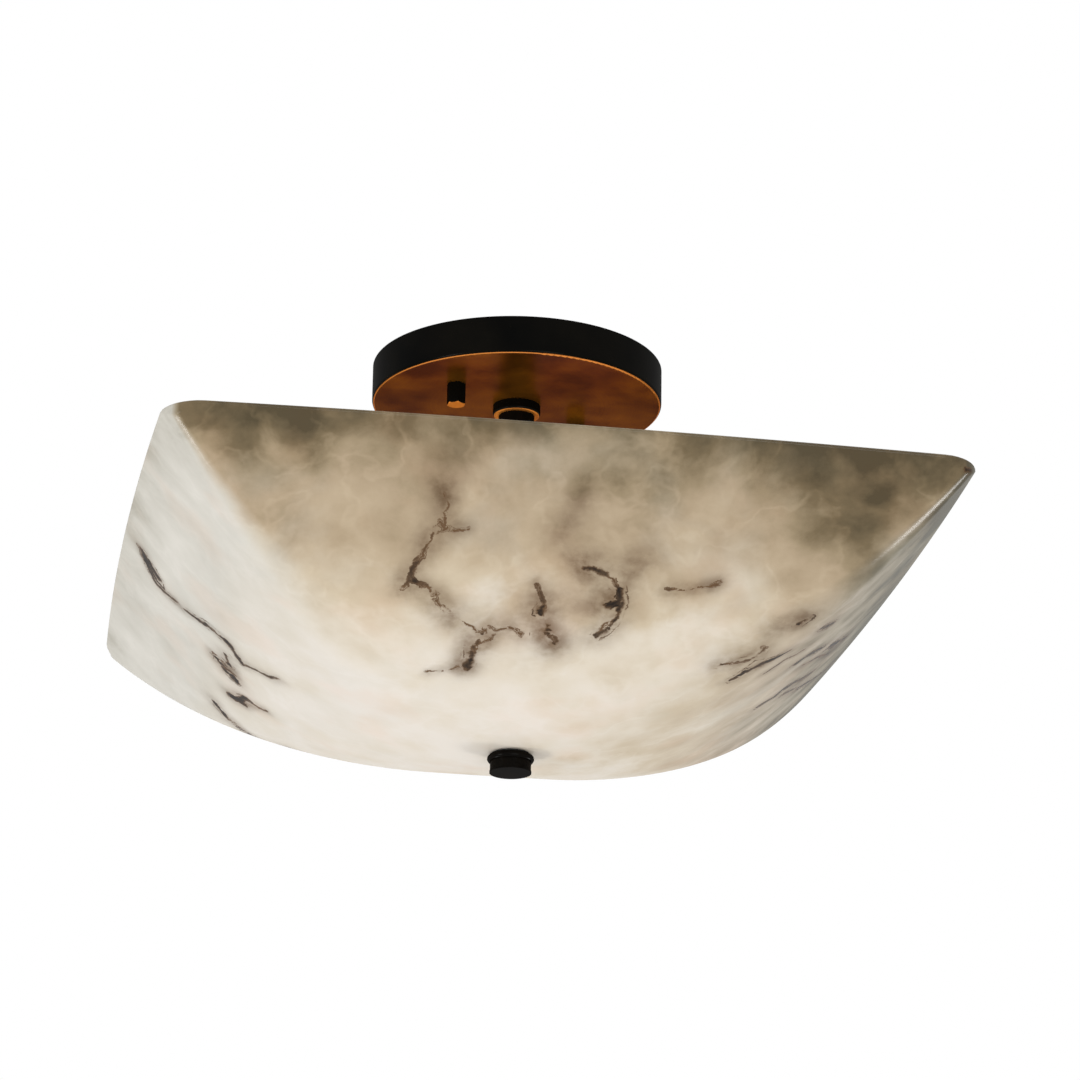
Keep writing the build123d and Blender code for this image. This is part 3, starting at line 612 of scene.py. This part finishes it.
def cut_corners(outline, height):
    """The outline with its corners cut straight down to the rim's corner radius, and rounded at the top."""
    centre = arc_places(HALF_SIDE_MM - RIM_CUT_IN_MM, SIDE_BOW_MM, RIM_CORNER_R_MM)[2]
    above = max(height - RIM_EDGE_Z_MM, 0.0)
    radius = RIM_CORNER_R_MM - RIM_EDGE_R_MM + math.sqrt(RIM_EDGE_R_MM**2 - above**2)
    reach = np.abs(outline) - centre
    length = np.hypot(reach[:, 0], reach[:, 1])
    outside = (reach.min(axis=1) > 0) & (length > radius)
    shrink = (radius / length[outside])[:, None]
    trimmed = outline.copy()
    trimmed[outside] = np.sign(outline[outside]) * (centre + reach[outside] * shrink)
    return trimmed


def seat_rows(height):
    """Rings of the flat seat from the hole outwards."""
    seat = bowl_outline(SEAT_HALF_MM, SEAT_SHARE)
    angles = np.arctan2(seat[:, 1], seat[:, 0])
    hole = BOWL_HOLE_R_MM * np.column_stack([np.cos(angles), np.sin(angles)])
    rings = [hole + (seat - hole) * i / SEAT_ROWS for i in range(SEAT_ROWS)]
    return [(ring, height, ring, BOWL_LOW_MM) for ring in rings]


def wall_rows(shares, inset, highest):
    """Rings up the outside, or up the inside where there is an inset."""
    rows = []
    for share in shares:
        rise, slope = side_rise(share)
        tilt = math.atan(slope)
        height = BOWL_LOW_MM + rise
        outside = cut_corners(bowl_outline(share * HALF_SIDE_MM, share), height)
        ring = outside
        if inset:
            ring = bowl_outline(share * HALF_SIDE_MM - inset * math.sin(tilt), share, INNER_CREASE_R_MM)
        if height + inset * math.cos(tilt) < highest:
            rows.append((ring, height + inset * math.cos(tilt), outside, height))
    return rows


def edge_rows(centre, first, last, crease_r):
    """Rings of the rim's rounded edge, from one angle of its arc to another."""
    rows = []
    for angle in np.linspace(first, last, RIM_STEPS):
        height = RIM_EDGE_Z_MM + RIM_EDGE_R_MM * math.sin(angle)
        ring = bowl_outline(centre + RIM_EDGE_R_MM * math.cos(angle), 1.0, crease_r)
        if crease_r == CREASE_R_MM:
            ring = cut_corners(ring, height)
        rows.append((ring, height, ring, height))
    return rows


def bowl_rows():
    """Sections of the bowl from the hole's lower edge, round the outside, over the rim and down the inside.

    Each is its outline, its height, and the outline and height outside that it takes its painting from.
    """
    wall_angle = math.atan(side_rise(1.0)[1])
    outer_centre = HALF_SIDE_MM - RIM_EDGE_R_MM / math.tan(wall_angle / 2)
    mouth = HALF_SIDE_MM - BOWL_WALL_MM / math.sin(wall_angle)
    inner_centre = mouth + RIM_EDGE_R_MM * math.tan(wall_angle / 2)
    edge_side = RIM_EDGE_R_MM * math.cos(wall_angle)
    shares = [*np.linspace(SEAT_SHARE, RIM_SHARE, OUTER_ROWS), *np.linspace(RIM_SHARE, 1.0, RIM_ROWS)[1:]]
    inner_shares = np.linspace(SEAT_SHARE, 1.0, INNER_ROWS)
    rows = seat_rows(BOWL_LOW_MM) + wall_rows(shares, 0.0, RIM_EDGE_Z_MM - edge_side)
    rows += edge_rows(outer_centre, wall_angle - math.pi / 2, math.pi / 2, CREASE_R_MM)
    rows += edge_rows(inner_centre, math.pi / 2, math.pi / 2 + wall_angle, INNER_CREASE_R_MM)
    rows += wall_rows(inner_shares, BOWL_WALL_MM, RIM_EDGE_Z_MM + edge_side)[::-1]
    return rows + seat_rows(BOWL_LOW_MM + BOWL_WALL_MM)[::-1]


def bowl_height(x, y):
    """Height in mm of the bowl's outside over a point of its plan."""
    across, along = max(abs(x), abs(y)), min(abs(x), abs(y))
    low, high = SEAT_SHARE, 1.0
    for _ in range(HALVINGS):
        share = (low + high) / 2
        half = share * HALF_SIDE_MM
        bow = SIDE_BOW_MM * share
        radius = corner_radius(half, share, CREASE_R_MM)
        centre = half - bow - radius
        if along > centre:
            inside = math.hypot(max(across - centre - bow / 2, 0), along - centre) < radius
        else:
            inside = across < half - bow * (along / (half - bow)) ** 2
        if inside:
            high = share
        else:
            low = share
    return BOWL_LOW_MM + side_rise(share)[0]


def on_bowl(x, y):
    """The point in metres of the bowl's outside at a point of the plan in mm."""
    return np.array((x, y, bowl_height(x, y))) * MM


def paint_veins(points):
    """For each point its offset and distance from the nearest vein, that vein's half width, and the halos."""
    distance = np.full(len(points), FAR_AWAY)
    offset = np.zeros((len(points), 3))
    width = np.zeros(len(points))
    clear = np.ones(len(points))
    for thickness, halo, plan in CRACKS:
        line = [on_bowl(x, y) for x, y in plan]
        nearest = np.full(len(points), FAR_AWAY)
        for start, end in zip(line[:-1], line[1:]):
            way = end - start
            share = np.clip((points - start) @ way / (way @ way), 0, 1)
            gap = points - (start + share[:, None] * way)
            reach = np.linalg.norm(gap, axis=1)
            nearest = np.minimum(nearest, reach)
            nearer = reach < distance
            distance[nearer] = reach[nearer]
            offset[nearer] = gap[nearer]
            width[nearer] = thickness * MM / 2
        clear *= 1 - HALO_STRENGTH * np.exp(-((nearest / (halo * MM)) ** 2))
    return offset, distance, width, 1 - clear


def paint_spots(points, spots):
    """The sum of round soft spots given as (x, y, radius, strength)."""
    total = np.zeros(len(points))
    for x, y, radius, strength in spots:
        reach = np.linalg.norm(points - on_bowl(x, y), axis=1)
        total += strength * np.exp(-((reach / (radius * MM)) ** 2))
    return total


def side_shares(points):
    """How far each point lies on the left and on the right side; creases part them sharply near the rim."""
    x, y, z = (points / MM).T
    fall = (RIM_Z_MM - z) / BOWL_DEPTH_MM
    blend = CREASE_BLEND_HIGH_MM + (CREASE_BLEND_LOW_MM - CREASE_BLEND_HIGH_MM) * fall**2
    left = np.clip((-x - np.abs(y)) / blend + 0.5, 0, 1)
    right = np.clip((x - np.abs(y)) / blend + 0.5, 0, 1)
    return left, right


def shade_and_clouds_at(points):
    """Painted shade with the stone's clouds: darkest at the front rim, paler downwards and on the left side.
    """
    fall = (RIM_Z_MM - points[:, 2] / MM) / BOWL_DEPTH_MM
    left, right = side_shares(points)
    front = np.interp(fall, SHADE_FALL, SHADE_TONE) * (1 - LEFT_PALER * left)
    # the right side gets more painted shade, most halfway down
    darker = RIGHT_DARKER * right * np.interp(fall, RIGHT_FALL, RIGHT_TONE)
    return front + darker + paint_spots(points, CLOUDS)


def cool_light_at(points):
    """Painted cool light that greys the stone: the left side and the right side, less so towards the bottom.
    """
    left, right = side_shares(points)
    high = np.clip((points[:, 2] / MM - COOL_LIGHT_FROM_MM) / COOL_LIGHT_OVER_MM, 0, 1)
    return np.clip((left + RIGHT_COOL_LIGHT * right) * high, 0, 1)


def make_bowl(material):
    """The bowl, with its veins, stains, painted shade and painted cool light as attributes that the stone
    material reads.
    """
    rows = bowl_rows()
    count = len(rows[0][0])
    points = np.concatenate([np.column_stack([row[0], np.full(count, row[1])]) for row in rows]) * MM
    painted_at = np.concatenate([np.column_stack([row[2], np.full(count, row[3])]) for row in rows]) * MM
    faces = []
    for row in range(len(rows)):
        lower, upper = row * count, (row + 1) % len(rows) * count
        for i in range(count):
            after = (i + 1) % count
            faces.append((lower + i, lower + after, upper + after, upper + i))
    piece = add_mesh("bowl_shell", points, faces, material, "bowl", ["bowl"])
    offset, distance, width, halo = paint_veins(painted_at)
    attributes = piece.data.attributes
    attributes.new("vein_offset", "FLOAT_VECTOR", "POINT").data.foreach_set("vector", offset.ravel())
    painting = {
        "vein_distance": distance,
        "vein_width": width,
        "stain": 1 - np.exp(-halo - STAIN_STRENGTH * paint_spots(painted_at, STAINS)),
        "shade_and_clouds": shade_and_clouds_at(painted_at),
        "cool_lit_and_grey": cool_light_at(painted_at),
    }
    for name, values in painting.items():
        attributes.new(name, "FLOAT", "POINT").data.foreach_set("value", values)


# ------------------------------------------------------------------ threads
def thread_profile(radius, depth, pitch, start, end):
    """Stations of a threaded stretch whose ends run out: place on the axis, radius, depth and material 0."""
    rows = math.ceil((end - start) / pitch * THREAD_ROWS)
    stations = []
    for place in np.linspace(start, end, rows + 1):
        runout = min(place - start, end - place, pitch) / pitch
        stations.append((place, radius, depth * runout, 0))
    return stations


def make_turned(name, stations, pitch, turn, materials, body, replaced):
    """A closed piece turned from stations in mm, as thread_profile gives them, and then moved by turn."""
    angles = np.linspace(0, 2 * math.pi, ROUND_STEPS, endpoint=False)
    points, faces, numbers = [], [], []
    for place, radius, depth, number in stations:
        wave = 0.5 - 0.5 * np.cos(2 * math.pi * place / pitch - angles)
        reach = radius - depth * wave
        ring = [Vector((place, r * math.cos(a), r * math.sin(a))) * MM for r, a in zip(reach, angles)]
        points += [turn @ point for point in ring]
        numbers += [number] * ROUND_STEPS
    for row in range(len(stations) - 1):
        for i in range(ROUND_STEPS):
            after = (i + 1) % ROUND_STEPS
            first, second = row * ROUND_STEPS, (row + 1) * ROUND_STEPS
            faces.append((first + i, first + after, second + after, second + i))
    last = (len(stations) - 1) * ROUND_STEPS
    faces.append(tuple(range(ROUND_STEPS - 1, -1, -1)))
    faces.append(tuple(range(last, last + ROUND_STEPS)))
    numbers = numbers[:last] + [stations[0][3], stations[-1][3]]
    piece = add_mesh(name, points, faces, materials[0], body, [replaced])
    for material in materials[1:]:
        piece.data.materials.append(material)
    piece.data.polygons.foreach_set("material_index", numbers)
    piece.data.set_sharp_from_angle(angle=SHARP_ANGLE)


def make_rod(materials):
    """The threaded rod that carries the bowl."""
    stations = thread_profile(ROD_R_MM, ROD_THREAD_MM, ROD_PITCH_MM, ROD_LOW_MM, ROD_TOP_MM)
    upright = Matrix(((0, 1, 0), (0, 0, 1), (1, 0, 0))).to_4x4()
    make_turned(
        "bowl_rod_threads", stations, ROD_PITCH_MM, upright,
        [materials["zinc_steel"]], "fixture", "bowl_rod",
    )


def make_bulb_bases(materials):
    """Both bulb bases: a solder tip, black glass round it, and the threaded cap."""
    stations = [(BULB_START_MM + step, radius, 0.0, number) for step, radius, number in TIP_STEPS_MM]
    stations += [(BASE_START_MM + step, radius, 0.0, number) for step, radius, number in SHOULDER_STEPS_MM]
    thread_start, thread_end = BASE_START_MM + BASE_PLAIN_MM, BASE_END_MM - BASE_NECK_MM
    stations += thread_profile(BASE_R_MM, BASE_THREAD_MM, BASE_PITCH_MM, thread_start, thread_end)
    stations += [(BASE_END_MM, BASE_R_MM, 0.0, CAP)]
    finishes = [materials[name] for name in ("bulb_cap", "black_glass", "solder")]
    for number, angle in enumerate(LAMP_ANGLES, 1):
        lying = Matrix.Translation((0, 0, LAMP_Z_MM * MM)) @ Matrix.Rotation(math.radians(angle), 4, "Z")
        make_turned(
            f"bulb_{number}_threads", stations, BASE_PITCH_MM, lying,
            finishes, f"bulb_{number}", f"bulb_{number}_base",
        )


# ------------------------------------------------------------------ stage, lights and camera
def make_stage():
    """A plain pale floor."""
    data = bpy.data.meshes.new("floor")
    corners = [(-1, -1), (1, -1), (1, 1), (-1, 1)]
    data.from_pydata([(x * FLOOR_HALF, y * FLOOR_HALF, FLOOR_Z) for x, y in corners], [], [(0, 1, 2, 3)])
    floor = bpy.data.objects.new("floor", data)
    bpy.context.scene.collection.objects.link(floor)
    data.materials.append(floor_material())


def make_world():
    """Plain light on the object, in front of a background that is seen as white."""
    world = bpy.data.worlds.new("studio")
    bpy.context.scene.world = world
    world.use_nodes = True
    tree = world.node_tree
    tree.nodes.clear()
    blend = tree.nodes.new("ShaderNodeMixShader")
    output = tree.nodes.new("ShaderNodeOutputWorld")
    tree.links.new(seen_directly(tree), blend.inputs["Fac"])
    for socket, strength in zip(blend.inputs[1:], (WORLD_LIGHT, 1.0)):
        background = tree.nodes.new("ShaderNodeBackground")
        background.inputs["Color"].default_value = (*WHITE, 1.0)
        background.inputs["Strength"].default_value = strength
        tree.links.new(background.outputs[0], socket)
    tree.links.new(blend.outputs[0], output.inputs["Surface"])


def make_lamp(name, place, size, watts, colour, aim):
    """A square lamp that the camera doesn't see."""
    data = bpy.data.lights.new(name, "AREA")
    data.shape = "SQUARE"
    data.size = size
    data.energy = watts
    data.color = colour
    lamp = bpy.data.objects.new(name, data)
    bpy.context.scene.collection.objects.link(lamp)
    lamp.location = place
    way = Vector(aim) - Vector(place)
    lamp.rotation_euler = way.to_track_quat("-Z", "Y").to_euler()
    lamp.visible_camera = False


def make_camera():
    """The photograph's camera."""
    azimuth, elevation, roll = (math.radians(v) for v in (CAMERA_AZIMUTH, CAMERA_ELEVATION, CAMERA_ROLL))
    back = Vector((
        math.sin(azimuth) * math.cos(elevation),
        -math.cos(azimuth) * math.cos(elevation),
        math.sin(elevation),
    ))
    level_right = (-back).cross(Vector((0, 0, 1))).normalized()
    level_up = level_right.cross(-back)
    right = math.cos(roll) * level_right + math.sin(roll) * level_up
    up = math.cos(roll) * level_up - math.sin(roll) * level_right
    data = bpy.data.cameras.new("camera")
    data.lens = CAMERA_LENS_MM
    camera = bpy.data.objects.new("camera", data)
    bpy.context.scene.collection.objects.link(camera)
    place = Vector(CAMERA_AIM) + back * CAMERA_DISTANCE + right * CAMERA_ASIDE[0] + up * CAMERA_ASIDE[1]
    turn = Matrix((right, up, back)).transposed().to_4x4()
    camera.matrix_world = Matrix.Translation(place) @ turn
    bpy.context.scene.camera = camera


# ------------------------------------------------------------------ scene
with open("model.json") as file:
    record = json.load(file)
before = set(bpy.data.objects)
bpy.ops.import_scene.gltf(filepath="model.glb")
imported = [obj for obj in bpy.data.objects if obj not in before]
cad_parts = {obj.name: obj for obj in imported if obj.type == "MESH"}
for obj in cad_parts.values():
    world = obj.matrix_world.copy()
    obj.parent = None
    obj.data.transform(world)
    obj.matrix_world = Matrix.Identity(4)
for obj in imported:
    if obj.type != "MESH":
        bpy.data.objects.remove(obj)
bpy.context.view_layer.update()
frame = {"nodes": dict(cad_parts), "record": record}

materials = make_materials()
dress_nodes(frame, materials)
make_bowl(materials["stone_resin"])
make_rod(materials)
make_bulb_bases(materials)

make_stage()
make_world()
for lamp in LAMPS:
    make_lamp(*lamp)
make_camera()

scene = bpy.context.scene
scene.view_settings.view_transform = "Standard"
